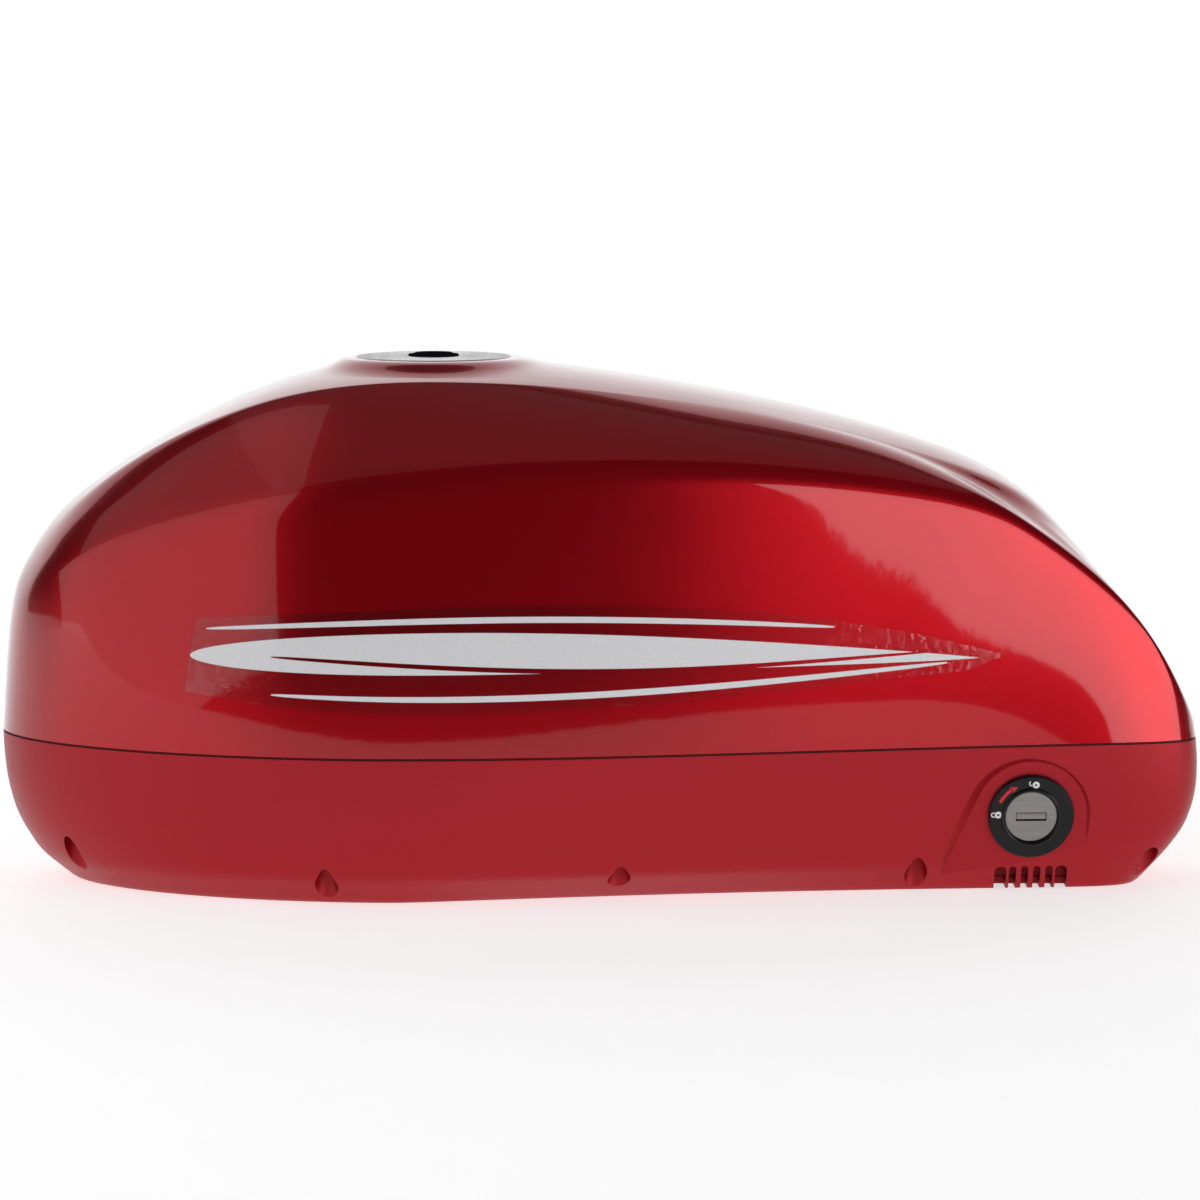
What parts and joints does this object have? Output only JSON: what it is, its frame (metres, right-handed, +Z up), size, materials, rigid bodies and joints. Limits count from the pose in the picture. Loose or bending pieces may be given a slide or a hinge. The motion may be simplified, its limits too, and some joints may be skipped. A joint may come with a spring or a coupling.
{
  "type": "e-bike battery housing shaped like a motorcycle fuel tank",
  "caption": "Tank-shaped two-part battery case with a key lock driving a dock bolt, a push-button switch on a round deck plate, a covered charge port and a rail channel underneath.",
  "frame": {"origin": "centre of the case's plan rectangle, on the flat underside", "axes": "+Z up, +X to the rear along the case (front nose at -X), -Y the side with the key lock"},
  "size_m": [0.4202, 0.166, 0.1849],
  "materials": {
    "candy_red_gloss": "candy metallic red under clear lacquer",
    "candy_red_satin": "satin metallic red",
    "black_rubber": "matte",
    "decal_white": "printed film",
    "black_steel": "black oxide",
    "brass": "machined",
    "brushed_aluminium": "brushed",
    "black_metal": "satin black",
    "nickel": "plated",
    "brushed_nickel": "brushed",
    "spring_steel": "plain",
    "black_plastic": "moulded",
    "cell_wrap": "shrink wrap",
    "board_green": "solder mask",
    "white_plastic": "moulded",
    "foam_grey": "closed-cell foam",
    "lead_red": "silicone insulation",
    "lead_black": "insulation"
  },
  "bodies": {
    "case": {"upper_shell": "candy_red_gloss", "lower_shell": "candy_red_satin", "shell_seal": "black_rubber", "side_decal_right": "decal_white", "side_decal_left": "decal_white", "case_screws": "black_steel", "threaded_inserts": "brass", "cap_plate": "brushed_aluminium", "cap_plate_seal": "black_rubber", "switch_body": "black_metal", "switch_nut": "nickel", "switch_spring": "spring_steel", "lock_bezel": "black_plastic", "lock_barrel": "nickel", "lock_nut": "nickel", "bolt_guide": "black_plastic", "bolt_guide_screws": "spring_steel", "charge_socket": "black_plastic", "charge_pins": "brass", "charge_nut": "black_plastic", "cover_pin": "spring_steel", "dock_connector": "black_plastic", "dock_contacts": "brass", "dock_screws": "spring_steel", "dock_rail_right": "brushed_aluminium", "dock_rail_left": "brushed_aluminium", "rail_screws": "spring_steel", "battery_cells": "cell_wrap", "cell_holder_right": "black_plastic", "cell_holder_left": "black_plastic", "nickel_strips_right": "nickel", "nickel_strips_left": "nickel", "board_standoffs": "nickel", "bms_board": "board_green", "bms_heatsink": "brushed_aluminium", "bms_connectors": "white_plastic", "board_screws": "spring_steel", "foam_pads": "foam_grey", "lead_positive": "lead_red", "lead_negative": "lead_black", "signal_leads": "lead_black", "charge_lead": "lead_black", "switch_leads": "lead_black", "fuse_holder": "black_plastic"},
    "plug": {"lock_plug": "brushed_nickel", "lock_cam": "nickel", "lock_cam_screw": "spring_steel"},
    "shutter": {"lock_shutter": "brushed_nickel"},
    "bolt": {"lock_bolt": "spring_steel"},
    "button": {"switch_button": "black_metal"},
    "port_cover": {"charge_cover": "black_rubber"}
  },
  "joints": [
    {"name": "lock_turn", "type": "hinge", "parent": "case", "child": "plug", "pos_m": [0.1506, -0.0422, 0.027], "axis": [-0.0601, 0.983, 0.1736], "range_deg": [0, 90]},
    {"name": "bolt_slide", "type": "slide", "parent": "case", "child": "bolt", "axis": [0.0106, -0.1733, 0.9848], "range_m": [0, 0.007]},
    {"name": "shutter_swing", "type": "hinge", "parent": "plug", "child": "shutter", "pos_m": [0.15065, -0.04306, 0.02786], "axis": [0.9981, 0.061, 0], "range_deg": [0, 75], "stiffness_Nm_per_rad": 0.000003, "springref_deg": -17.19},
    {"name": "button_press", "type": "slide", "parent": "case", "child": "button", "axis": [0, 0, -1], "range_m": [0, 0.0015], "stiffness_N_per_m": 600, "springref_m": -0.0006, "deforming": ["switch_spring"]},
    {"name": "port_cover_swing", "type": "hinge", "parent": "case", "child": "port_cover", "pos_m": [-0.068, 0.08129, 0.04308], "axis": [1, 0, 0], "range_deg": [0, 110]}
  ],
  "couplings": [
    {"joint": "lock_turn", "follows": "bolt_slide", "rad_per_m": 224.4}
  ]
}
